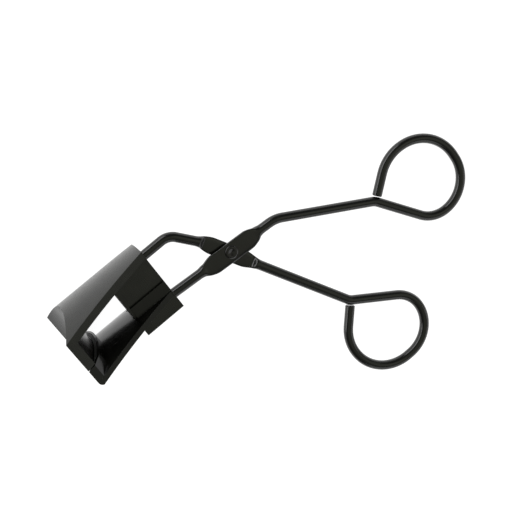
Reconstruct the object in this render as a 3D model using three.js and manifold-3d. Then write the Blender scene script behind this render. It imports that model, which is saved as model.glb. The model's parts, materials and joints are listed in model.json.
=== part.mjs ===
// Eyelash curler: two black wire handles crossed on a rivet work a pair of pressed-sheet jaws.
// The upper jaw is fixed to one handle. The lower jaw slides on the cheeks of a guide bracket
// and is pushed by a cross pin in the end of the other handle.
//
// Design axes, in millimetres, with the origin 0.5 mm below the rivet's axis:
//   X runs back from the jaws towards the handles, Y is the way the jaws close (upper jaw at +Y),
//   and Z is the jaws' width. The whole part is then laid on its side, as it rests on a table.

import * as THREE from "three";
import { mergeVertices } from "three/addons/utils/BufferGeometryUtils.js";
import Module from "manifold-3d";

const wasm = await Module();
wasm.setup();

// ---- driving dimensions ----

const WIRE_RADIUS = 1.42;
const SHEET = 0.7;
const GAP = 0.3;

// Plan outline that both jaws share.
const JAW_BACK_X = -19.9;
const HORN_X = -50.5;
const BACK_HALF_WIDTH = 5.5;
const HORN_HALF_WIDTH = 14.6;
const FRONT_SAGITTA = 4.9;
const ARCH_RADIUS = 27.8;

// Heights on the mid plane.
const UPPER_CROWN_Y = 19.1;
const LOWER_CROWN_Y = 5.3;
const SEAM_Y = 7.4;
const SEAM_RADIUS = 57;

const UPPER_FLANGE = 2.2;
const HORN_LEG = 2.6;
const LOWER_RIM = 1.5;
const LOWER_CORNER_RADIUS = 1.75;
const LOWER_BACK_HALF_WIDTH = 5.9;

// Guide bracket.
const CHEEK_OUTER_Z = 4.5;
const CHEEK_SHEET = 0.8;
const CHEEK_LENGTH = 12.5;
const CHEEK_BOTTOM_Y = -1.4;
const WEB_SHEET = 0.6;
const SADDLE_HALF_WIDTH = 3.3;
const SADDLE_LENGTH = 6;

// Guide flanges that stand up beside the cheeks, and the notch that clears the driving wire.
const GUIDE_FLANGE_SHEET = 0.6;
const GUIDE_FLANGE_TOP_Y = 8.1;
const NOTCH_FRONT_X = -23.5;
const NOTCH_HALF_WIDTH = 2;

// Pad and its channel, measured back from the pressing face.
const CHANNEL_DEPTH = 2.4;
const CHANNEL_HORN_DEPTH = 1.6;
const PAD_PLAY = 0.15;
const CHANNEL_WALL = 0.6;
const CHANNEL_END = 0.8;
const CHANNEL_FLOOR = 0.5;

// Handles. Each flat runs between two distances along its wire from the crossing.
const FLAT_THICKNESS = 1.15;
const FLAT_INNER_Z = 0.15;
const UPPER_WIRE_Y = 15.6;
const LOWER_WIRE_Y = 1.7;
const UPPER_FLAT = { from: -9.3, to: 7.6, halfWidth: 2.4 };
const LOWER_FLAT = { from: -9.0, to: 9.0, halfWidth: 2.85 };
const RIVET_X = -0.1;
const RIVET_Y = 0.5;
const RIVET_RADIUS = 1.0;
const RIVET_HEAD_RADIUS = 1.9;
const UPPER_WIRE_START_X = -31;
const EYE_OVERHANG = 2.1;
const EYE = { flatTo: 3.6, roundFrom: 5.4, halfWidth: 1.7, halfThickness: 0.9, squareness: 0.4 };
const FLAT_SQUARENESS = 0.55;

// Drive pin and its bracket, below the lower jaw.
const PIN_X = -27;
const PIN_RADIUS = 0.8;
const EAR_INNER_Z = 2.1;
const EAR_SHEET = 0.6;
const SLOT_PLAY_X = 1.0;
const SLOT_PLAY_Y = 0.3;
const BRACKET_WEB_Y = 3.55;
const BRACKET_WEB_FRONT = 4;
const BRACKET_WEB_BACK = 0.3;
const EAR_HALF_LENGTH = 3.5;
const EAR_DROP = 2.4;
const PIN_HEAD_OVERHANG = 0.35;
const PIN_HEAD_THICKNESS = 0.4;
const PIN_HEAD_PLAY = 0.2;
const HOLE_CLEARANCE = 0.12;

// Far end of the lower jaw handle's finger loop. The part lies on it and on the far pair of horns.
const LOOP_END_X = 71.3;

// Steps along a wire: fine where its section changes, coarse elsewhere.
const FINE_STEP = 0.7;
const COARSE_STEP = 1.9;
const WIRE_SIDES = 12;

// Half the size of a cutting solid that has to pass right through the jaws.
const REACH = 30;

const BLACK_LACQUER = { color: 0x16160f, roughness: 0.32, metalness: 0.55 };
const BLACK_WIRE = { color: 0x12120f, roughness: 0.28, metalness: 0.6 };
const BLACK_SILICONE = { color: 0x0b0b0b, roughness: 0.75, metalness: 0.0 };

const frontRadius = (HORN_HALF_WIDTH ** 2 + FRONT_SAGITTA ** 2) / (2 * FRONT_SAGITTA);
const frontCentreX = HORN_X + FRONT_SAGITTA - frontRadius;
const flare = (HORN_HALF_WIDTH - BACK_HALF_WIDTH) / (JAW_BACK_X - HORN_X);
const flareCosine = Math.cos(Math.atan(flare));
const lieTurn = Math.atan2(HORN_HALF_WIDTH - WIRE_RADIUS, LOOP_END_X - WIRE_RADIUS - HORN_X);

// ---- solids ----

function toSolid(geometry) {
  const plain = geometry.clone();
  plain.deleteAttribute("normal");
  plain.deleteAttribute("uv");
  const merged = mergeVertices(plain, 1e-5);
  return new wasm.Manifold(new wasm.Mesh({
    numProp: 3,
    vertProperties: new Float32Array(merged.attributes.position.array),
    triVerts: new Uint32Array(merged.index.array),
  }));
}

function toGeometry(solid) {
  const mesh = solid.getMesh();
  const geometry = new THREE.BufferGeometry();
  geometry.setAttribute("position", new THREE.BufferAttribute(mesh.vertProperties, 3));
  geometry.setIndex(new THREE.BufferAttribute(mesh.triVerts, 1));
  geometry.computeVertexNormals();
  return geometry;
}

function box(lowX, highX, lowY, highY, lowZ, highZ) {
  const geometry = new THREE.BoxGeometry(highX - lowX, highY - lowY, highZ - lowZ);
  geometry.translate((lowX + highX) / 2, (lowY + highY) / 2, (lowZ + highZ) / 2);
  return toSolid(geometry);
}

// Round bar along Z.
function bar(x, y, radius, lowZ, highZ, sides = 24) {
  const geometry = new THREE.CylinderGeometry(radius, radius, highZ - lowZ, sides);
  geometry.rotateX(Math.PI / 2);
  geometry.translate(x, y, (lowZ + highZ) / 2);
  return toSolid(geometry);
}

// Everything under an arched surface whose ridge runs along X on the mid plane.
function underArch(crownY, radius) {
  const half = 18;
  const halfAngle = Math.asin(half / radius);
  const shape = new THREE.Shape();
  shape.moveTo(-half, -REACH);
  shape.lineTo(half, -REACH);
  shape.absarc(0, crownY - radius, radius, Math.PI / 2 - halfAngle, Math.PI / 2 + halfAngle, false);
  const geometry = new THREE.ExtrudeGeometry(shape, {
    depth: 2 * REACH,
    bevelEnabled: false,
    curveSegments: 28,
  });
  geometry.rotateY(Math.PI / 2);
  geometry.translate(HORN_X - REACH / 2, 0, 0);
  return toSolid(geometry);
}

// A plan outline in X and Z, stood up as a tall prism.
function planPrism(points) {
  const shape = new THREE.Shape(points.map(([x, z]) => new THREE.Vector2(x, -z)));
  const geometry = new THREE.ExtrudeGeometry(shape, { depth: 2 * REACH, bevelEnabled: false });
  geometry.rotateX(-Math.PI / 2);
  geometry.translate(0, -REACH, 0);
  return toSolid(geometry);
}

// Upright cylinder that hollows the jaws' front to the curve of the eyelid.
function eyelidCylinder(inset) {
  const radius = frontRadius + inset;
  const geometry = new THREE.CylinderGeometry(radius, radius, 2 * REACH, 96);
  geometry.translate(frontCentreX, 0, 0);
  return toSolid(geometry);
}

const halfWidthAt = (x) => BACK_HALF_WIDTH + flare * (JAW_BACK_X - x);

// The jaws' plan, drawn in by an inset on its sides and front. Its back may run past the edge.
function jawPlan(inset, backX, leastHalfWidth) {
  const drawIn = inset / flareCosine;
  const frontX = HORN_X - 2 * (inset > 0 ? 1 : 0);
  const kneeX = JAW_BACK_X - (leastHalfWidth - BACK_HALF_WIDTH) / flare;
  const outline = [
    [backX, leastHalfWidth - drawIn],
    [kneeX, leastHalfWidth - drawIn],
    [frontX, halfWidthAt(frontX) - drawIn],
  ];
  const mirrored = outline.map(([x, z]) => [x, -z]).reverse();
  return planPrism([...outline, ...mirrored]).subtract(eyelidCylinder(inset));
}

// A band that follows the pressing face, between two distances behind it.
function frontBand(nearInset, farInset) {
  return eyelidCylinder(farInset).subtract(eyelidCylinder(nearInset));
}

// ---- upper jaw ----

function upperJawPlate() {
  const outer = jawPlan(0, JAW_BACK_X, BACK_HALF_WIDTH);
  const inner = jawPlan(SHEET, JAW_BACK_X + 5, BACK_HALF_WIDTH);
  const top = underArch(UPPER_CROWN_Y, ARCH_RADIUS);
  const underside = underArch(UPPER_CROWN_Y - SHEET, ARCH_RADIUS - SHEET);
  const belowFlange = underArch(UPPER_CROWN_Y - UPPER_FLANGE, ARCH_RADIUS);
  const belowSeam = underArch(SEAM_Y + GAP / 2, SEAM_RADIUS);
  const walls = outer.subtract(inner).intersect(top).subtract(belowSeam);
  const plate = outer.intersect(top).subtract(underside);
  const frontWall = frontBand(0, SHEET);
  const openSides = box(HORN_X + HORN_LEG, JAW_BACK_X + 1, -REACH, REACH, -REACH, REACH)
    .subtract(frontWall)
    .intersect(belowFlange);
  return plate.add(walls.subtract(openSides));
}

function guideBracket() {
  const frontX = JAW_BACK_X - CHEEK_LENGTH;
  const web = UPPER_CROWN_Y - SHEET - GAP;
  const radius = ARCH_RADIUS - SHEET - GAP;
  const outer = box(frontX, JAW_BACK_X, CHEEK_BOTTOM_Y, REACH, -CHEEK_OUTER_Z, CHEEK_OUTER_Z);
  const innerZ = CHEEK_OUTER_Z - CHEEK_SHEET;
  const inner = box(frontX - 1, JAW_BACK_X + 1, CHEEK_BOTTOM_Y - 1, REACH, -innerZ, innerZ);
  return outer
    .intersect(underArch(web, radius))
    .subtract(inner.intersect(underArch(web - WEB_SHEET, radius - WEB_SHEET)));
}

// Strap that holds the fixed handle's end against the bracket's web.
function wireSaddle() {
  const webRadius = ARCH_RADIUS - SHEET - GAP - WEB_SHEET;
  const webDrop = webRadius - Math.sqrt(webRadius ** 2 - SADDLE_HALF_WIDTH ** 2);
  const footTop = UPPER_CROWN_Y - SHEET - GAP - WEB_SHEET - webDrop - GAP;
  const footBottom = footTop - WEB_SHEET;
  const footHalf = SADDLE_HALF_WIDTH;
  const inner = WIRE_RADIUS + GAP;
  const outer = inner + WEB_SHEET;
  const innerStart = Math.asin((footTop - UPPER_WIRE_Y) / inner);
  const outerStart = Math.asin((footBottom - UPPER_WIRE_Y) / outer);
  const shape = new THREE.Shape();
  shape.moveTo(-footHalf, footTop);
  shape.lineTo(-inner * Math.cos(innerStart), footTop);
  shape.absarc(0, UPPER_WIRE_Y, inner, Math.PI - innerStart, 2 * Math.PI + innerStart, false);
  shape.lineTo(footHalf, footTop);
  shape.lineTo(footHalf, footBottom);
  shape.absarc(0, UPPER_WIRE_Y, outer, outerStart, -Math.PI - outerStart, true);
  shape.lineTo(-footHalf, footBottom);
  const geometry = new THREE.ExtrudeGeometry(shape, {
    depth: SADDLE_LENGTH,
    bevelEnabled: false,
    curveSegments: 12,
  });
  geometry.rotateY(Math.PI / 2);
  geometry.translate(PIN_X - SADDLE_LENGTH / 2, 0, 0);
  return toSolid(geometry);
}

// ---- lower jaw ----

function lowerJawPlate() {
  const outer = jawPlan(0, JAW_BACK_X - GAP, LOWER_BACK_HALF_WIDTH);
  const inner = jawPlan(SHEET, JAW_BACK_X + 5, LOWER_BACK_HALF_WIDTH);
  const top = underArch(LOWER_CROWN_Y, ARCH_RADIUS);
  const underside = underArch(LOWER_CROWN_Y - SHEET, ARCH_RADIUS - SHEET);
  const plate = outer.intersect(top).subtract(underside);
  const belowRim = underArch(LOWER_CROWN_Y - LOWER_RIM, ARCH_RADIUS);
  const rim = outer.subtract(inner).intersect(top).subtract(belowRim);
  let jaw = plate.add(rim);

  const slotFrontX = JAW_BACK_X - CHEEK_LENGTH - GAP;
  const cheekInnerZ = CHEEK_OUTER_Z - CHEEK_SHEET;
  const slotOuterZ = CHEEK_OUTER_Z + GAP;
  const flangeOuterZ = slotOuterZ + GUIDE_FLANGE_SHEET;
  const flangeBottomY = LOWER_CROWN_Y - SHEET - GAP;
  for (const side of [-1, 1]) {
    const slotZ = [side * (cheekInnerZ - GAP), side * slotOuterZ].sort((a, b) => a - b);
    const flangeZ = [side * slotOuterZ, side * flangeOuterZ].sort((a, b) => a - b);
    jaw = jaw.subtract(box(slotFrontX, JAW_BACK_X + 1, -REACH, REACH, ...slotZ));
    jaw = jaw.add(box(slotFrontX + 1, JAW_BACK_X - GAP, flangeBottomY, GUIDE_FLANGE_TOP_Y, ...flangeZ));
  }
  const wireNotch = box(NOTCH_FRONT_X, JAW_BACK_X + 1, -REACH, REACH, -NOTCH_HALF_WIDTH, NOTCH_HALF_WIDTH);
  return jaw.subtract(wireNotch).intersect(roundedSide());
}

// Side view that rounds the lower jaw's bottom front corner.
function roundedSide() {
  const archDrop = ARCH_RADIUS - Math.sqrt(ARCH_RADIUS ** 2 - HORN_HALF_WIDTH ** 2);
  const bottomY = LOWER_CROWN_Y - LOWER_RIM - archDrop;
  const radius = LOWER_CORNER_RADIUS;
  const shape = new THREE.Shape();
  shape.moveTo(0, REACH);
  shape.lineTo(HORN_X, REACH);
  shape.absarc(HORN_X + radius, bottomY + radius, radius, Math.PI, 1.5 * Math.PI, false);
  shape.lineTo(0, bottomY);
  const geometry = new THREE.ExtrudeGeometry(shape, {
    depth: 2 * REACH,
    bevelEnabled: false,
    curveSegments: 8,
  });
  geometry.translate(0, 0, -REACH);
  return toSolid(geometry);
}

// The channel narrows towards both horns, along a 45 degree line in plan.
function besideHorns(inset) {
  const sides = [-1, 1].map((side) => box(0, 12, -REACH, REACH, -REACH, REACH)
    .rotate([0, -45 * side, 0])
    .translate([HORN_X + CHANNEL_HORN_DEPTH - inset * Math.SQRT2, 0, side * HORN_HALF_WIDTH]));
  return sides[0].add(sides[1]);
}

function padChannel() {
  const ends = jawPlan(0, JAW_BACK_X, BACK_HALF_WIDTH).subtract(besideHorns(0));
  const grooveEnds = jawPlan(CHANNEL_END, JAW_BACK_X, BACK_HALF_WIDTH)
    .subtract(besideHorns(CHANNEL_WALL));
  const base = underArch(LOWER_CROWN_Y + GAP, ARCH_RADIUS);
  const floor = underArch(LOWER_CROWN_Y + GAP + CHANNEL_FLOOR, ARCH_RADIUS);
  const lips = underArch(SEAM_Y - GAP / 2, SEAM_RADIUS);
  const rail = frontBand(0, CHANNEL_DEPTH).intersect(ends).intersect(lips).subtract(base);
  const groove = frontBand(CHANNEL_WALL, CHANNEL_DEPTH - CHANNEL_WALL)
    .intersect(grooveEnds)
    .subtract(floor);
  return rail.subtract(groove);
}

function lashPad() {
  const inset = CHANNEL_WALL + PAD_PLAY;
  const ends = jawPlan(CHANNEL_END + PAD_PLAY, JAW_BACK_X, BACK_HALF_WIDTH)
    .subtract(besideHorns(inset));
  const floor = underArch(LOWER_CROWN_Y + GAP + CHANNEL_FLOOR + GAP, ARCH_RADIUS);
  const face = underArch(SEAM_Y - GAP / 2, SEAM_RADIUS);
  return frontBand(inset, CHANNEL_DEPTH - inset).intersect(ends).intersect(face).subtract(floor);
}

// U-shaped bracket under the lower jaw, with a slotted ear on each side of the handle's eye.
// Its web stops over the pin, so the wire behind the eye has room to rise as the handle turns.
function driveBracket() {
  const webTop = BRACKET_WEB_Y + EAR_SHEET;
  const earOuterZ = EAR_INNER_Z + EAR_SHEET;
  const halfSlot = PIN_RADIUS + SLOT_PLAY_X;
  const slotHeight = PIN_RADIUS + SLOT_PLAY_Y;
  const earFrontX = PIN_X - EAR_HALF_LENGTH;
  const earBackX = PIN_X + EAR_HALF_LENGTH;
  const webFrontX = PIN_X - BRACKET_WEB_FRONT;
  const webBackX = PIN_X + BRACKET_WEB_BACK;
  const web = box(webFrontX, webBackX, BRACKET_WEB_Y, webTop, -earOuterZ, earOuterZ);
  const ears = box(earFrontX, earBackX, LOWER_WIRE_Y - EAR_DROP, webTop, -earOuterZ, earOuterZ)
    .subtract(box(earFrontX - 1, earBackX + 1, -REACH, REACH, -EAR_INNER_Z, EAR_INNER_Z));
  const slotEnd = halfSlot - slotHeight;
  const slotLowY = LOWER_WIRE_Y - slotHeight;
  const slotHighY = LOWER_WIRE_Y + slotHeight;
  const slot = box(PIN_X - slotEnd, PIN_X + slotEnd, slotLowY, slotHighY, -REACH, REACH)
    .add(bar(PIN_X - slotEnd, LOWER_WIRE_Y, slotHeight, -REACH, REACH))
    .add(bar(PIN_X + slotEnd, LOWER_WIRE_Y, slotHeight, -REACH, REACH));
  return web.add(ears).subtract(slot);
}

function drivePin() {
  const headRadius = PIN_RADIUS + PIN_HEAD_OVERHANG;
  const headInnerZ = EAR_INNER_Z + EAR_SHEET + PIN_HEAD_PLAY;
  const headOuterZ = headInnerZ + PIN_HEAD_THICKNESS;
  return bar(PIN_X, LOWER_WIRE_Y, PIN_RADIUS, -headOuterZ, headOuterZ)
    .add(bar(PIN_X, LOWER_WIRE_Y, headRadius, -headOuterZ, -headInnerZ))
    .add(bar(PIN_X, LOWER_WIRE_Y, headRadius, headInnerZ, headOuterZ));
}

// ---- wire handles ----

// Centre line through corners [x, y, bend radius], straight between them.
function wirePath(corners) {
  const path = new THREE.Path();
  const points = corners.map(([x, y]) => new THREE.Vector2(x, y));
  path.moveTo(points[0].x, points[0].y);
  for (let i = 1; i < corners.length - 1; i += 1) {
    const radius = corners[i][2];
    const incoming = points[i].clone().sub(points[i - 1]).normalize();
    const outgoing = points[i + 1].clone().sub(points[i]).normalize();
    const turn = Math.atan2(incoming.cross(outgoing), incoming.dot(outgoing));
    const setback = radius * Math.tan(Math.abs(turn) / 2);
    const start = points[i].clone().addScaledVector(incoming, -setback);
    const side = Math.sign(turn);
    const centreX = start.x - side * radius * incoming.y;
    const centreY = start.y + side * radius * incoming.x;
    const startAngle = Math.atan2(start.y - centreY, start.x - centreX);
    path.lineTo(start.x, start.y);
    path.absarc(centreX, centreY, radius, startAngle, startAngle + turn, turn < 0);
  }
  path.lineTo(points.at(-1).x, points.at(-1).y);
  return path;
}

const smooth = (value, from, to) => THREE.MathUtils.smoothstep(value, from, to);
const mix = THREE.MathUtils.lerp;

// One coordinate of a unit circle, pushed towards a square's outline.
function squared(value, squareness) {
  const whole = Math.abs(value) < 1e-6 ? 0 : value;
  return Math.sign(whole) * Math.abs(whole) ** (1 - squareness);
}

// Round wire along a path. profile(distance from the path's start) gives the section:
// half width across the path, half thickness along Z, middle height and squareness.
function sweptWire(path, profile, fineZones) {
  const length = path.getLength();
  const stations = [0];
  while (stations.at(-1) < length) {
    const at = stations.at(-1);
    const fine = fineZones.some(([from, to]) => at >= from && at < to);
    stations.push(Math.min(at + (fine ? FINE_STEP : COARSE_STEP), length));
  }
  const geometry = new THREE.CylinderGeometry(1, 1, 1, WIRE_SIDES, stations.length - 1);
  const position = geometry.attributes.position;
  for (let i = 0; i < position.count; i += 1) {
    const station = stations[Math.round((0.5 - position.getY(i)) * (stations.length - 1))];
    const point = path.getPointAt(station / length);
    const tangent = path.getTangentAt(station / length);
    const { halfWidth, halfThickness, middleZ, squareness } = profile(station);
    const across = squared(position.getX(i), squareness) * halfWidth;
    const up = squared(position.getZ(i), squareness) * halfThickness;
    position.setXYZ(i, point.x - tangent.y * across, point.y + tangent.x * across, middleZ + up);
  }
  return toSolid(geometry);
}

// Section of a wire that is forged flat around the rivet, at distance pivotAt from its end.
function forgedSection(pivotAt, flat, side) {
  const { from, to } = flat;
  return (station) => {
    const along = station - pivotAt;
    const step = smooth(along, from - 0.7, from + 0.7) * (1 - smooth(along, to - 0.7, to + 0.7));
    const swell = smooth(along, from - 2, from + 3.5) * (1 - smooth(along, to - 3.5, to + 2));
    return {
      halfWidth: mix(WIRE_RADIUS, flat.halfWidth, swell),
      halfThickness: mix(WIRE_RADIUS, FLAT_THICKNESS / 2, step),
      middleZ: side * mix(0, FLAT_INNER_Z + FLAT_THICKNESS / 2, step),
      squareness: FLAT_SQUARENESS * step,
    };
  };
}

// Finger loop, as corners from the bend where it leaves the shank to the wire's cut end.
const LOOP = [
  [11.9, -16.8, 9.4],
  [27.6, -16.8, 10.8],
  [27.6, 8.0, 13],
  [9.9, 8.0, 12.4],
  [1.4, 0.8, 0],
];

function fingerLoop(bendX, bendY, size, mirrored) {
  return LOOP.map(([x, y, radius]) => {
    const [u, v] = mirrored ? [-y, -x] : [x, y];
    return [bendX + size * u, bendY + size * v, size * radius];
  });
}

const rivetHole = () => bar(RIVET_X, RIVET_Y, RIVET_RADIUS + HOLE_CLEARANCE, -REACH, REACH);

// Handle of the fixed upper jaw: forged towards the far side.
function upperJawHandle() {
  const corners = [
    [UPPER_WIRE_START_X, UPPER_WIRE_Y, 0],
    [-11.1, UPPER_WIRE_Y, 5],
    [-4.8, 7.8, 6],
    [19.2, -35.2, 5],
    ...fingerLoop(19.2, -35.2, 0.965, true),
  ];
  const pivotAt = wirePath([...corners.slice(0, 3), [0, 0, 0]]).getLength();
  const section = forgedSection(pivotAt, UPPER_FLAT, -1);
  return sweptWire(wirePath(corners), section, [[pivotAt - 12, pivotAt + 10]]).subtract(rivetHole());
}

// Handle that drives the lower jaw: forged towards the near side, with an eye for the drive pin.
function lowerJawHandle() {
  const corners = [
    [PIN_X - EYE_OVERHANG, LOWER_WIRE_Y, 0],
    [-19.5, LOWER_WIRE_Y, 8],
    [0, 0.3, 10],
    [15.6, -0.7, 9],
    [42.3, -16.4, 5],
    ...fingerLoop(42.3, -16.4, 1, false),
  ];
  const pivotAt = wirePath([...corners.slice(0, 2), [0, 0.3, 0]]).getLength();
  const forged = forgedSection(pivotAt, LOWER_FLAT, 1);
  const section = (station) => {
    const eye = 1 - smooth(station, EYE.flatTo, EYE.roundFrom);
    const wire = forged(station);
    return {
      halfWidth: mix(wire.halfWidth, EYE.halfWidth, eye),
      halfThickness: mix(wire.halfThickness, EYE.halfThickness, eye),
      middleZ: wire.middleZ,
      squareness: mix(wire.squareness, EYE.squareness, eye),
    };
  };
  const fineZones = [[0, EYE.roundFrom + 0.6], [pivotAt - 12, pivotAt + 11]];
  return sweptWire(wirePath(corners), section, fineZones)
    .subtract(rivetHole())
    .subtract(bar(PIN_X, LOWER_WIRE_Y, PIN_RADIUS + HOLE_CLEARANCE, -REACH, REACH));
}

// Rivet with a low domed head at each end and the setting punch's dimple in the near one.
function pivotRivet() {
  const headZ = FLAT_INNER_Z + FLAT_THICKNESS + HOLE_CLEARANCE;
  const profile = [
    [0, -headZ - 0.55],
    [1.2, -headZ - 0.5],
    [RIVET_HEAD_RADIUS, -headZ - 0.2],
    [RIVET_HEAD_RADIUS, -headZ],
    [RIVET_RADIUS, -headZ],
    [RIVET_RADIUS, headZ],
    [RIVET_HEAD_RADIUS, headZ],
    [RIVET_HEAD_RADIUS, headZ + 0.15],
    [1.45, headZ + 0.4],
    [0.9, headZ + 0.4],
    [0.35, headZ + 0.1],
    [0, headZ + 0.1],
  ];
  const geometry = new THREE.LatheGeometry(profile.map(([r, y]) => new THREE.Vector2(r, y)), 24);
  geometry.rotateX(Math.PI / 2);
  geometry.translate(RIVET_X, RIVET_Y, 0);
  return toSolid(geometry);
}

// ---- assembly ----

const curler = new THREE.Group();

function addPiece(name, solid, look) {
  const mesh = new THREE.Mesh(toGeometry(solid), new THREE.MeshStandardMaterial(look));
  mesh.name = name;
  curler.add(mesh);
}

addPiece("upper_jaw_plate", upperJawPlate(), BLACK_LACQUER);
addPiece("guide_bracket", guideBracket(), BLACK_LACQUER);
addPiece("wire_saddle", wireSaddle(), BLACK_LACQUER);
addPiece("upper_jaw_handle", upperJawHandle(), BLACK_WIRE);
addPiece("pivot_rivet", pivotRivet(), BLACK_WIRE);
addPiece("lower_jaw_handle", lowerJawHandle(), BLACK_WIRE);
addPiece("drive_pin", drivePin(), BLACK_WIRE);
addPiece("lower_jaw_plate", lowerJawPlate(), BLACK_LACQUER);
addPiece("drive_bracket", driveBracket(), BLACK_LACQUER);
addPiece("pad_channel", padChannel(), BLACK_LACQUER);
addPiece("lash_pad", lashPad(), BLACK_SILICONE);

// Laid on its side, with the middle of its box's underside at the origin.
curler.rotation.y = lieTurn;
const lying = new THREE.Group();
lying.add(curler);
const extent = new THREE.Box3().setFromObject(lying, true);
const middle = extent.getCenter(new THREE.Vector3());
lying.position.set(-middle.x, -middle.y, -extent.min.z);

export default lying;
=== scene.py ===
# Looks of the eyelash curler: lacquered sheet jaws and wire handles on a white table.
#
# Design axes, in millimetres, with the origin near the rivet, as in the CAD: X runs back from the
# jaws towards the handles, Y is the way the jaws close, and Z is the jaws' width. DESIGN turns
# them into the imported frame, in metres.

import json
import math

import bmesh
import bpy
from mathutils import Matrix, Vector


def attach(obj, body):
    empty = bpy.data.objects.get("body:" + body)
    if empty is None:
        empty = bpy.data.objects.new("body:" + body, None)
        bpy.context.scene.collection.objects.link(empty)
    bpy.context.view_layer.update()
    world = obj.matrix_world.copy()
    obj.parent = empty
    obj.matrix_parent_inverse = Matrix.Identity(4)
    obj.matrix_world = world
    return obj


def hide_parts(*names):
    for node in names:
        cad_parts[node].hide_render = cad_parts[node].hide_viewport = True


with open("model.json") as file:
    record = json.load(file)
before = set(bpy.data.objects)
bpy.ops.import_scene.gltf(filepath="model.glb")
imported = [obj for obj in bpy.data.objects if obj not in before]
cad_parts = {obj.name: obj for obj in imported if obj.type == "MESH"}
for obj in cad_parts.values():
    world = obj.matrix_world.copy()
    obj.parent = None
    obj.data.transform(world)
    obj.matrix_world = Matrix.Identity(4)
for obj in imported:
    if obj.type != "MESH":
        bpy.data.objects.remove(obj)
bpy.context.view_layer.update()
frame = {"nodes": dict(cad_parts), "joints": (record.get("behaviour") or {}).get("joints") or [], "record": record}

MM = 0.001

# ---- dimensions, the same as the CAD's ----

WIRE_RADIUS = 1.42
UPPER_WIRE_START_X = -31
UPPER_WIRE_Y = 15.6
LOWER_WIRE_Y = 1.7
PIN_X = -27
ARCH_RADIUS = 27.8
CHANNEL_BASE_Y = 5.6
BRACKET_TOP_Y = 4.15
RIVET = Vector((-0.1, 0.5, 0))
RIVET_RADIUS = 1.0
RIVET_HEAD_RADIUS = 1.9
HOLE_CLEARANCE = 0.12

# Each forged flat: where it starts and ends along its wire from the crossing, and its half width.
UPPER_FLAT = (-9.3, 7.6, 2.4)
LOWER_FLAT = (-9.0, 9.0, 2.85)
FLAT_THICKNESS = 1.15
FLAT_INNER_Z = 0.15
FLAT_SQUARENESS = 0.55
# A flat thins within FLAT_STEP of its ends. It widens from SWELL_OUT outside them to SWELL_IN inside.
FLAT_STEP = 0.7
SWELL_OUT = 2
SWELL_IN = 3.5

# Eye for the drive pin at the lower handle's end, measured along the wire from that end.
EYE_OVERHANG = 2.1
EYE_FLAT_TO = 3.6
EYE_ROUND_FROM = 5.4
EYE_HALF_WIDTH = 1.7
EYE_HALF_THICKNESS = 0.9
EYE_SQUARENESS = 0.4

# Where each shank bends into its finger loop.
UPPER_BEND = (19.2, -35.2)
LOWER_BEND = (42.3, -16.4)
# Finger loop: corners (x, y, bend radius) from that bend to the wire's cut end.
LOOP = [(11.9, -16.8, 9.4), (27.6, -16.8, 10.8), (27.6, 8.0, 13), (9.9, 8.0, 12.4), (1.4, 0.8, 0)]

# ---- finish ----

WIRE_STEP = 0.3
WIRE_SIDES = 40
WIRE_CHAMFER = 0.22
RIVET_SIDES = 64
BEVEL_SEGMENTS = 3
BEVEL_ANGLE = math.radians(28)
FLAT_ANGLE = math.radians(1.0)
# How far a welded-on piece moves to close the gap that its CAD solid keeps to the jaw.
SEATING = 0.26
ON_SURFACE = 0.05
# Vertices closer than this are one, in metres: as the CAD mesh comes, and after the bevels.
CAD_MERGE = 2e-6
FINAL_MERGE = 2e-7

hinge = next(joint for joint in frame["joints"] if joint["name"] == "handle_pivot")
hinge_axis = Vector(hinge["axis"]).normalized()
lie_turn = math.atan2(hinge_axis.x, hinge_axis.z)
DESIGN = (Matrix.Translation(Vector(hinge["pos_m"])) @ Matrix.Rotation(lie_turn, 4, "Y")
          @ Matrix.Scale(MM, 4) @ Matrix.Translation(-RIVET))
TO_DESIGN = DESIGN.to_3x3().normalized().transposed()


# ---- camera ----

# The camera's own directions, in design axes.
CAMERA_RIGHT = Vector((0.7567, -0.5605, 0.3364))
CAMERA_DOWN = Vector((-0.6383, -0.7445, 0.1955))
CAMERA_AHEAD = Vector((0.1409, -0.3627, -0.9212))
# The design origin, as seen from the camera: right, down and ahead, in millimetres.
ORIGIN_FROM_CAMERA = (-6.60, -0.75, 315.0)
HALF_FIELD_TANGENT = 0.22546
SENSOR_WIDTH = 36


def make_camera():
    data = bpy.data.cameras.new("camera")
    data.sensor_width = SENSOR_WIDTH
    data.lens = SENSOR_WIDTH / 2 / HALF_FIELD_TANGENT
    data.clip_start = 0.01
    data.clip_end = 20
    camera = bpy.data.objects.new("camera", data)
    bpy.context.scene.collection.objects.link(camera)
    right, down, ahead = ORIGIN_FROM_CAMERA
    place = -(CAMERA_RIGHT * right + CAMERA_DOWN * down + CAMERA_AHEAD * ahead)
    turn = DESIGN.to_3x3() * (1 / MM)
    axes = Matrix((turn @ CAMERA_RIGHT, turn @ -CAMERA_DOWN, turn @ -CAMERA_AHEAD)).transposed()
    camera.rotation_mode = "QUATERNION"
    camera.rotation_quaternion = axes.to_quaternion()
    camera.location = DESIGN @ place
    bpy.context.scene.camera = camera


# ---- materials ----

def new_material(name):
    material = bpy.data.materials.new(name)
    material.use_nodes = True
    return material, material.node_tree, material.node_tree.nodes["Principled BSDF"]


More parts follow.
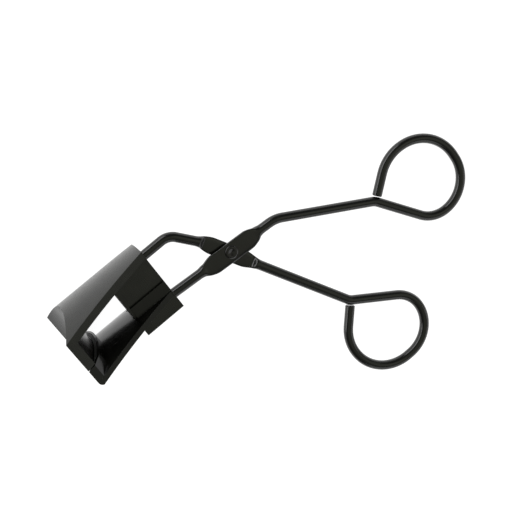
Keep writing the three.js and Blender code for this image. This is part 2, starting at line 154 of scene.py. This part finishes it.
def noise(tree, scale, detail, roughness=0.5, stretch=None):
    """Noise in the object's own space, in cells per metre."""
    coordinates = tree.nodes.new("ShaderNodeTexCoord")
    texture = tree.nodes.new("ShaderNodeTexNoise")
    texture.inputs["Scale"].default_value = scale
    texture.inputs["Detail"].default_value = detail
    texture.inputs["Roughness"].default_value = roughness
    if stretch is None:
        tree.links.new(coordinates.outputs["Object"], texture.inputs["Vector"])
    else:
        mapping = tree.nodes.new("ShaderNodeMapping")
        mapping.inputs["Scale"].default_value = stretch
        tree.links.new(coordinates.outputs["Object"], mapping.inputs["Vector"])
        tree.links.new(mapping.outputs["Vector"], texture.inputs["Vector"])
    return texture.outputs["Fac"]


def ramp(tree, value, stops):
    """Colour, or grey where a stop holds one number, at each position of the value."""
    node = tree.nodes.new("ShaderNodeValToRGB")
    elements = node.color_ramp.elements
    while len(elements) < len(stops):
        elements.new(0.5)
    for element, (position, colour) in zip(elements, stops):
        element.position = position
        element.color = (*colour, 1) if isinstance(colour, tuple) else (colour, colour, colour, 1)
    tree.links.new(value, node.inputs["Fac"])
    return node.outputs["Color"]


def bump(tree, height, strength, distance, before=None):
    node = tree.nodes.new("ShaderNodeBump")
    node.inputs["Strength"].default_value = strength
    node.inputs["Distance"].default_value = distance
    tree.links.new(height, node.inputs["Height"])
    if before is not None:
        tree.links.new(before, node.inputs["Normal"])
    return node.outputs["Normal"]


def lacquer(name, dark, light, smooth, dull, peel, index=1.58):
    """Black stoving lacquer: faint mottling, fine rub marks in the gloss, and slight orange peel."""
    material, tree, shader = new_material(name)
    mottled = ramp(tree, noise(tree, 240, 5), [(0.36, dark), (0.64, light)])
    tree.links.new(mottled, shader.inputs["Base Color"])
    rubbed = ramp(tree, noise(tree, 900, 6, 0.7, (1, 0.25, 1)), [(0.35, smooth), (0.7, dull)])
    tree.links.new(rubbed, shader.inputs["Roughness"])
    coarse = bump(tree, noise(tree, 700, 2), peel, 0.00006)
    fine = bump(tree, noise(tree, 5200, 3), peel * 0.6, 0.00001, coarse)
    tree.links.new(fine, shader.inputs["Normal"])
    shader.inputs["IOR"].default_value = index
    return material


def worn_edge(name, lacquer_colour, metal_colour):
    """The lacquer thins on bent and cut edges, where the steel just begins to show."""
    material, tree, shader = new_material(name)
    spots = noise(tree, 2600, 6, 0.65)
    colour = ramp(tree, spots, [(0.52, lacquer_colour), (0.68, metal_colour)])
    tree.links.new(colour, shader.inputs["Base Color"])
    tree.links.new(ramp(tree, spots, [(0.5, 0.0), (0.7, 0.35)]), shader.inputs["Metallic"])
    rubbed = ramp(tree, noise(tree, 1500, 4), [(0.3, 0.26), (0.7, 0.4)])
    tree.links.new(rubbed, shader.inputs["Roughness"])
    tree.links.new(bump(tree, spots, 0.2, 0.00003), shader.inputs["Normal"])
    return material


def silicone(name):
    """Matt black silicone with a faint bloom."""
    material, tree, shader = new_material(name)
    bloom = ramp(tree, noise(tree, 1400, 4), [(0.3, (0.006, 0.006, 0.006)), (0.7, (0.014, 0.014, 0.013))])
    tree.links.new(bloom, shader.inputs["Base Color"])
    rubbed = ramp(tree, noise(tree, 3000, 4), [(0.3, 0.5), (0.7, 0.68)])
    tree.links.new(rubbed, shader.inputs["Roughness"])
    tree.links.new(bump(tree, noise(tree, 4500, 4), 0.3, 0.00003), shader.inputs["Normal"])
    shader.inputs["Sheen Weight"].default_value = 0.1
    return material


SHEET_LACQUER = lacquer("sheet_lacquer", dark=(0.0006, 0.0008, 0.0003), light=(0.0066, 0.0069, 0.0048),
                        smooth=0.24, dull=0.33, peel=0.1)
# The lower jaw takes a darker, less reflective copy of the sheet lacquer, as painted shade from the upper jaw
# above it; this copy is also glossier.
SHADED_JAW_LACQUER = lacquer("shaded_jaw_lacquer", dark=(0.0012, 0.0014, 0.0008),
                            light=(0.0036, 0.0038, 0.0026), smooth=0.17, dull=0.24, peel=0.08, index=1.48)
WIRE_LACQUER = lacquer("wire_lacquer", dark=(0.0022, 0.0024, 0.0015), light=(0.0046, 0.0048, 0.0033),
                       smooth=0.15, dull=0.26, peel=0.1)
EDGE_LACQUER = worn_edge("edge_lacquer", (0.008, 0.008, 0.007), (0.06, 0.06, 0.056))
PAD_SILICONE = silicone("pad_silicone")


# ---- pieces ----

def add_object(name, mesh, materials, body, node):
    """Adds a piece that rides on a body and stands for a CAD node."""
    piece = bpy.data.objects.new(name, mesh)
    bpy.context.scene.collection.objects.link(piece)
    for material in materials:
        mesh.materials.append(material)
    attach(piece, body)
    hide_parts(node)
    return piece


def is_fold(edge):
    """A fold joins the arched top to a side wall that hangs from it."""
    facing_up = [abs((TO_DESIGN @ face.normal).y) for face in edge.link_faces]
    middle = DESIGN.inverted() @ ((edge.verts[0].co + edge.verts[1].co) / 2)
    return max(facing_up) > 0.7 and min(facing_up) < 0.3 and middle.y > UPPER_WIRE_Y - 1


def seat_channel(point):
    """The channel's base, which follows the jaw's arch, comes down onto the jaw."""
    base = CHANNEL_BASE_Y - ARCH_RADIUS + math.sqrt(ARCH_RADIUS ** 2 - point.z ** 2)
    return -SEATING if abs(point.y - base) < ON_SURFACE else 0


def seat_bracket(point):
    """The bracket's top comes up to the jaw's underside."""
    return SEATING if point.y > BRACKET_TOP_Y - ON_SURFACE else 0


def apply_modifiers(piece):
    """Keeps the modifiers' result as the piece's own mesh, with vanishing edges merged away."""
    graph = bpy.context.evaluated_depsgraph_get()
    mesh = bpy.data.meshes.new_from_object(piece.evaluated_get(graph))
    shape = bmesh.new()
    shape.from_mesh(mesh)
    bmesh.ops.remove_doubles(shape, verts=shape.verts, dist=FINAL_MERGE)
    bmesh.ops.dissolve_degenerate(shape, dist=FINAL_MERGE, edges=shape.edges)
    shape.to_mesh(mesh)
    shape.free()
    piece.modifiers.clear()
    piece.data = mesh


def softened(node, body, width, material=SHEET_LACQUER, edge=EDGE_LACQUER,
             fold_width=None, seat=None):
    """A copy of the CAD piece with its edges rounded as a press and lacquer leave them."""
    mesh = frame["nodes"][node].data.copy()
    mesh.materials.clear()
    shape = bmesh.new()
    shape.from_mesh(mesh)
    bmesh.ops.remove_doubles(shape, verts=shape.verts, dist=CAD_MERGE)
    bmesh.ops.dissolve_limit(shape, angle_limit=FLAT_ANGLE, verts=shape.verts, edges=shape.edges)
    if seat is not None:
        for vertex in shape.verts:
            point = DESIGN.inverted() @ vertex.co
            vertex.co = DESIGN @ (point + Vector((0, seat(point), 0)))
    for face in shape.faces:
        face.smooth = True
    wide = fold_width or width
    weights = shape.edges.layers.float.new("bevel_weight_edge")
    for each in shape.edges:
        if len(each.link_faces) == 2 and each.calc_face_angle(0) > BEVEL_ANGLE:
            each[weights] = 1 if is_fold(each) else width / wide
    shape.to_mesh(mesh)
    shape.free()
    piece = add_object(node + "_finished", mesh, [material, edge], body, node)
    bevel = piece.modifiers.new("rounded_edges", "BEVEL")
    bevel.width = wide * MM
    bevel.segments = BEVEL_SEGMENTS
    bevel.limit_method = "WEIGHT"
    bevel.material = 1
    bevel.use_clamp_overlap = True
    apply_modifiers(piece)
    shading = piece.modifiers.new("even_shading", "WEIGHTED_NORMAL")
    shading.weight = 50
    return piece


def smoothstep(value, low, high):
    t = min(max((value - low) / (high - low), 0), 1)
    return t * t * (3 - 2 * t)


def mix(a, b, t):
    return a + (b - a) * t


def wire_path(corners):
    """Points and directions along a line of straights and bends, given as (x, y, bend radius)."""
    pieces = []
    here = Vector(corners[0][:2])
    for i in range(1, len(corners) - 1):
        corner = Vector(corners[i][:2])
        radius = corners[i][2]
        incoming = (corner - Vector(corners[i - 1][:2])).normalized()
        outgoing = (Vector(corners[i + 1][:2]) - corner).normalized()
        turn = math.atan2(incoming.x * outgoing.y - incoming.y * outgoing.x, incoming.dot(outgoing))
        start = corner - incoming * radius * math.tan(abs(turn) / 2)
        pieces.append(("straight", here, start))
        side = 1 if turn > 0 else -1
        centre = start + side * radius * Vector((-incoming.y, incoming.x))
        from_centre = start - centre
        pieces.append(("bend", centre, from_centre, turn))
        here = centre + Matrix.Rotation(turn, 2) @ from_centre
    end = Vector(corners[-1][:2])
    pieces.append(("straight", here, end))
    points = []
    for kind, *measures in pieces:
        if kind == "straight":
            start, finish = measures
            length = (finish - start).length
            if length < 1e-6:
                continue
            direction = (finish - start).normalized()
            count = max(1, round(length / WIRE_STEP))
            points += [(start + direction * length * k / count, direction) for k in range(count)]
        else:
            centre, from_centre, turn = measures
            length = abs(turn) * from_centre.length
            count = max(2, round(length / WIRE_STEP))
            for k in range(count):
                spoke = Matrix.Rotation(turn * k / count, 2) @ from_centre
                normal = spoke.normalized() * (1 if turn > 0 else -1)
                points.append((centre + spoke, Vector((-normal.y, normal.x))))
    points.append((end, (end - Vector(corners[-2][:2])).normalized()))
    return points


def path_length(points):
    return sum((b[0] - a[0]).length for a, b in zip(points, points[1:]))


def squared(value, squareness):
    """One coordinate of a unit circle, pushed towards a square's outline."""
    return math.copysign(abs(value) ** (1 - squareness), value)


def wire_object(shape, name, body, node):
    """Turns a finished bmesh into a piece with the wires' lacquer."""
    bmesh.ops.recalc_face_normals(shape, faces=shape.faces)
    mesh = bpy.data.meshes.new(name)
    shape.to_mesh(mesh)
    shape.free()
    return add_object(name, mesh, [WIRE_LACQUER], body, node)


def swept_wire(name, points, profile, body, node):
    """Closed tube along the path, with its cut ends chamfered."""
    shape = bmesh.new()
    rings = []
    stations = [0.0]
    for a, b in zip(points, points[1:]):
        stations.append(stations[-1] + (b[0] - a[0]).length)
    start, start_direction = points[0]
    end, end_direction = points[-1]
    length = stations[-1]
    rows = [(points[0], 0.0, -WIRE_CHAMFER)]
    rows += [(point, station, 0.0) for point, station in zip(points, stations)]
    rows.append((points[-1], length, -WIRE_CHAMFER))
    rows[1] = ((start + start_direction * WIRE_CHAMFER, start_direction), WIRE_CHAMFER, 0.0)
    rows[-2] = ((end - end_direction * WIRE_CHAMFER, end_direction), length - WIRE_CHAMFER, 0.0)
    for (point, direction), station, inset in rows:
        half_width, half_thickness, middle_z, squareness = profile(station)
        across = Vector((-direction.y, direction.x))
        ring = []
        for k in range(WIRE_SIDES):
            angle = 2 * math.pi * k / WIRE_SIDES
            outward = squared(math.cos(angle), squareness) * (half_width + inset)
            upward = squared(math.sin(angle), squareness) * (half_thickness + inset)
            place = point + across * outward
            ring.append(shape.verts.new(DESIGN @ Vector((place.x, place.y, middle_z + upward))))
        rings.append(ring)
    for low, high in zip(rings, rings[1:]):
        for k in range(WIRE_SIDES):
            after = (k + 1) % WIRE_SIDES
            shape.faces.new((low[k], low[after], high[after], high[k])).smooth = True
    shape.faces.new(list(reversed(rings[0])))
    shape.faces.new(rings[-1])
    return wire_object(shape, name, body, node)


def forged_section(pivot_at, flat, side):
    """Section of a wire forged flat round the rivet, at a distance from the wire's start."""
    flat_from, flat_to, flat_half_width = flat

    def section(station):
        along = station - pivot_at
        step = smoothstep(along, flat_from - FLAT_STEP, flat_from + FLAT_STEP)
        step *= 1 - smoothstep(along, flat_to - FLAT_STEP, flat_to + FLAT_STEP)
        swell = smoothstep(along, flat_from - SWELL_OUT, flat_from + SWELL_IN)
        swell *= 1 - smoothstep(along, flat_to - SWELL_IN, flat_to + SWELL_OUT)
        half_width = mix(WIRE_RADIUS, flat_half_width, swell)
        half_thickness = mix(WIRE_RADIUS, FLAT_THICKNESS / 2, step)
        middle_z = side * mix(0, FLAT_INNER_Z + FLAT_THICKNESS / 2, step)
        return half_width, half_thickness, middle_z, FLAT_SQUARENESS * step
    return section


def finger_loop(bend, size, mirrored):
    bend_x, bend_y = bend
    placed = []
    for x, y, radius in LOOP:
        u, v = (-y, -x) if mirrored else (x, y)
        placed.append((bend_x + size * u, bend_y + size * v, size * radius))
    return placed


def upper_jaw_handle():
    corners = [(UPPER_WIRE_START_X, UPPER_WIRE_Y, 0), (-11.1, UPPER_WIRE_Y, 5), (-4.8, 7.8, 6),
               (*UPPER_BEND, 5)]
    corners += finger_loop(UPPER_BEND, 0.965, True)
    pivot_at = path_length(wire_path([*corners[:3], (0, 0, 0)]))
    section = forged_section(pivot_at, UPPER_FLAT, -1)
    return swept_wire("upper_jaw_wire", wire_path(corners), section, "upper_jaw_frame", "upper_jaw_handle")


def lower_jaw_handle():
    corners = [(PIN_X - EYE_OVERHANG, LOWER_WIRE_Y, 0), (-19.5, LOWER_WIRE_Y, 8), (0, 0.3, 10),
               (15.6, -0.7, 9), (*LOWER_BEND, 5)]
    corners += finger_loop(LOWER_BEND, 1, False)
    pivot_at = path_length(wire_path([*corners[:2], (0, 0.3, 0)]))
    forged = forged_section(pivot_at, LOWER_FLAT, 1)

    def section(station):
        eye = 1 - smoothstep(station, EYE_FLAT_TO, EYE_ROUND_FROM)
        half_width, half_thickness, middle_z, squareness = forged(station)
        return (mix(half_width, EYE_HALF_WIDTH, eye), mix(half_thickness, EYE_HALF_THICKNESS, eye),
                middle_z, mix(squareness, EYE_SQUARENESS, eye))
    return swept_wire("lower_jaw_wire", wire_path(corners), section, "lower_handle", "lower_jaw_handle")


def rivet_ring(shape, radius, z):
    """A ring of vertices about the rivet's axis, or one vertex on it."""
    if radius == 0:
        return [shape.verts.new(DESIGN @ (RIVET + Vector((0, 0, z))))]
    turns = [2 * math.pi * k / RIVET_SIDES for k in range(RIVET_SIDES)]
    spokes = [Vector((radius * math.cos(a), radius * math.sin(a), z)) for a in turns]
    return [shape.verts.new(DESIGN @ (RIVET + spoke)) for spoke in spokes]


def pivot_rivet():
    """A low dome on the far head, and the setting punch's dimple in the near one."""
    head = FLAT_INNER_Z + FLAT_THICKNESS + HOLE_CLEARANCE
    profile = [(0, -head - 0.55), (0.6, -head - 0.54), (1.2, -head - 0.49), (1.65, -head - 0.36),
               (1.86, -head - 0.2), (RIVET_HEAD_RADIUS, -head - 0.1), (RIVET_HEAD_RADIUS, -head),
               (RIVET_RADIUS, -head), (RIVET_RADIUS, head),
               (RIVET_HEAD_RADIUS, head), (RIVET_HEAD_RADIUS, head + 0.1), (1.84, head + 0.2),
               (1.62, head + 0.35), (1.4, head + 0.4), (1.1, head + 0.4), (0.96, head + 0.35),
               (0.2, head - 0.04), (0.1, head - 0.07), (0, head - 0.08)]
    shape = bmesh.new()
    rings = [rivet_ring(shape, radius, z) for radius, z in profile]
    for low, high in zip(rings, rings[1:]):
        for k in range(RIVET_SIDES):
            corners = [low[k % len(low)], low[(k + 1) % len(low)],
                       high[(k + 1) % len(high)], high[k % len(high)]]
            shape.faces.new(list(dict.fromkeys(corners))).smooth = True
    return wire_object(shape, "rivet_finished", "upper_jaw_frame", "pivot_rivet")


make_camera()

softened("upper_jaw_plate", "upper_jaw_frame", 0.08, fold_width=0.22)
softened("guide_bracket", "upper_jaw_frame", 0.12)
softened("wire_saddle", "upper_jaw_frame", 0.08)
softened("lower_jaw_plate", "lower_jaw", 0.12, SHADED_JAW_LACQUER)
softened("drive_bracket", "lower_jaw", 0.08, seat=seat_bracket)
softened("pad_channel", "lower_jaw", 0.14, SHADED_JAW_LACQUER, seat=seat_channel)
softened("lash_pad", "lower_jaw", 0.1, PAD_SILICONE, PAD_SILICONE)
softened("drive_pin", "lower_handle", 0.06, WIRE_LACQUER)
upper_jaw_handle()
lower_jaw_handle()
pivot_rivet()

# The CAD solids behind the finished pieces take the same finishes.
SLOT_MATERIALS = {
    "lacquered_sheet": SHEET_LACQUER,
    "lacquered_wire": WIRE_LACQUER,
    "silicone_pad": PAD_SILICONE,
}
for part in frame["record"]["subparts"]:
    for holder in frame["nodes"][part["node"]].material_slots:
        holder.material = SLOT_MATERIALS[part["material_slot"]]


# ---- table and light ----

TABLE_HALF_WIDTH = 6.0
TABLE_TOP_Z = -0.00002


def make_table():
    """A white table that glows a little, so that it is evenly white round the curler."""
    half = TABLE_HALF_WIDTH
    mesh = bpy.data.meshes.new("table")
    outline = [(-half, -half, 0), (half, -half, 0), (half, half, 0), (-half, half, 0)]
    mesh.from_pydata(outline, [], [(0, 1, 2, 3)])
    table = bpy.data.objects.new("table", mesh)
    bpy.context.scene.collection.objects.link(table)
    table.location.z = TABLE_TOP_Z
    material, tree, shader = new_material("white_table")
    shader.inputs["Base Color"].default_value = (0.45, 0.45, 0.45, 1)
    shader.inputs["Roughness"].default_value = 0.9
    shader.inputs["Specular IOR Level"].default_value = 0.0
    shader.inputs["Emission Color"].default_value = (1, 1, 1, 1)
    shader.inputs["Emission Strength"].default_value = 0.95
    mesh.materials.append(material)


def make_panel(name, place, size, radiance, tint=(1, 1, 1)):
    """Soft box that faces the middle of the curler. Its power is 4 times its area and its radiance."""
    data = bpy.data.lights.new(name, "AREA")
    data.shape = "RECTANGLE"
    data.size, data.size_y = size
    data.energy = 4 * size[0] * size[1] * radiance
    data.color = tint
    panel = bpy.data.objects.new(name, data)
    bpy.context.scene.collection.objects.link(panel)
    panel.location = place
    panel.rotation_mode = "QUATERNION"
    panel.rotation_quaternion = (-Vector(place)).to_track_quat("-Z", "Y")


def make_light():
    """A dim studio with a pale ceiling, a bright soft box behind the curler and weaker ones round it."""
    world = bpy.data.worlds.new("studio")
    world.use_nodes = True
    tree = world.node_tree
    direction = tree.nodes.new("ShaderNodeTexCoord")
    split = tree.nodes.new("ShaderNodeSeparateXYZ")
    tree.links.new(direction.outputs["Generated"], split.inputs["Vector"])
    walls_and_ceiling = [(0.0, 0.35), (0.3, 0.1), (0.78, 0.12), (0.9, (0.34, 0.35, 0.29))]
    studio = ramp(tree, split.outputs["Z"], walls_and_ceiling)
    tree.links.new(studio, tree.nodes["Background"].inputs["Color"])
    bpy.context.scene.world = world
    make_panel("back_soft_box", (-0.35, 0.75, 0.28), (1.8, 0.4), 2.2)
    make_panel("front_soft_box", (0.2, -0.9, 0.42), (1.6, 0.6), 0.7)
    make_panel("side_soft_box", (0.67, -0.22, 0.7), (0.8, 0.8), 0.22, (1.0, 1.03, 0.84))


make_table()
make_light()
bpy.context.scene.view_settings.view_transform = "Standard"
